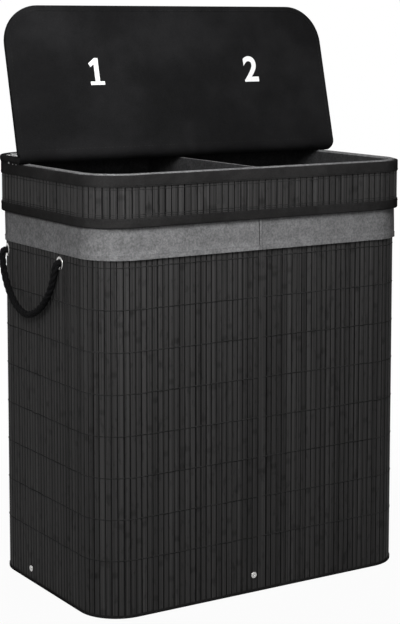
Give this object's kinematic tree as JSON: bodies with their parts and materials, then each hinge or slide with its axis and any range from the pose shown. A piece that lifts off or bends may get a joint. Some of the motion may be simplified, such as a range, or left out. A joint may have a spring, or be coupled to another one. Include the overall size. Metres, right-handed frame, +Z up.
{
  "type": "laundry hamper with two bins",
  "caption": "Tall rounded-rectangular slat laundry hamper with a divided cloth liner, slip-on collar cap with a hinged flap lid, and rope side handles.",
  "frame": {"origin": "on the floor under the middle of the body's plan", "axes": "+Z up, -Y to the front that the lid opens from, +X to the viewer's right when facing the front"},
  "size_m": [0.587, 0.3558, 0.8728],
  "materials": {
    "stained_bamboo": "black-stained split bamboo, satin, with growth nodes",
    "black_cloth": "plain woven black polyester lining, matt",
    "black_tape": "folded black binding tape, fine ribbed weave",
    "grey_cloth": "heathered grey cotton blend, plain weave, slightly creased",
    "black_rope": "three-strand twisted black rope",
    "nickel": "bright nickel plate",
    "steel_wire": "plain drawn steel",
    "grey_board": "pressed grey board"
  },
  "bodies": {
    "hamper_body": {"left_slat_mat": "stained_bamboo", "right_slat_mat": "stained_bamboo", "front_join_strip": "stained_bamboo", "rear_join_strip": "stained_bamboo", "wall_backing": "black_cloth", "top_frame_wire": "steel_wire", "bottom_frame_wire": "steel_wire", "top_hem": "black_tape", "bottom_edge_binding": "black_tape", "base_board": "grey_board", "base_bracket_front": "steel_wire", "base_bracket_rear": "steel_wire", "base_bracket_left": "steel_wire", "base_bracket_right": "steel_wire", "rivet_front": "nickel", "rivet_rear": "nickel", "rivet_left": "nickel", "rivet_right": "nickel", "eyelet_left_front": "nickel", "eyelet_left_rear": "nickel", "eyelet_right_front": "nickel", "eyelet_right_rear": "nickel", "rope_knot_left_front": "black_rope", "rope_knot_left_rear": "black_rope", "rope_knot_right_front": "black_rope", "rope_knot_right_rear": "black_rope"},
    "liner": {"liner_cuff": "grey_cloth", "left_bag": "grey_cloth", "right_bag": "grey_cloth", "divider_binding": "grey_cloth"},
    "cap": {"collar_slats": "stained_bamboo", "collar_backing": "black_cloth", "collar_top_binding": "black_tape", "collar_bottom_binding": "black_tape", "rear_panel_lining": "black_cloth", "rear_panel_board": "grey_board", "rear_panel_slats": "stained_bamboo", "rear_panel_binding": "black_tape", "panel_seam_welt": "black_tape", "hinge_tape": "black_tape"},
    "lid": {"lid_lining": "black_cloth", "lid_board": "grey_board", "lid_slats": "stained_bamboo", "lid_binding": "black_tape"},
    "left_handle": {"left_rope_handle": "black_rope"},
    "right_handle": {"right_rope_handle": "black_rope"}
  },
  "joints": [
    {"name": "liner_lift", "type": "slide", "parent": "hamper_body", "child": "liner", "axis": [0, 0, 1], "range_m": [0, 0.62]},
    {"name": "cap_lift", "type": "slide", "parent": "liner", "child": "cap", "axis": [0, 0, 1], "range_m": [0, 0.12]},
    {"name": "lid_hinge", "type": "hinge", "parent": "cap", "child": "lid", "pos_m": [0, 0.053, 0.6462], "axis": [-1, 0, 0], "range_deg": [-104, 76]},
    {"name": "left_handle_swing", "type": "hinge", "parent": "hamper_body", "child": "left_handle", "pos_m": [-0.2802, 0.0357, 0.501], "axis": [0, 1, 0], "range_deg": [0, 150]},
    {"name": "right_handle_swing", "type": "hinge", "parent": "hamper_body", "child": "right_handle", "pos_m": [0.2802, 0.0357, 0.501], "axis": [0, -1, 0], "range_deg": [0, 150]}
  ]
}
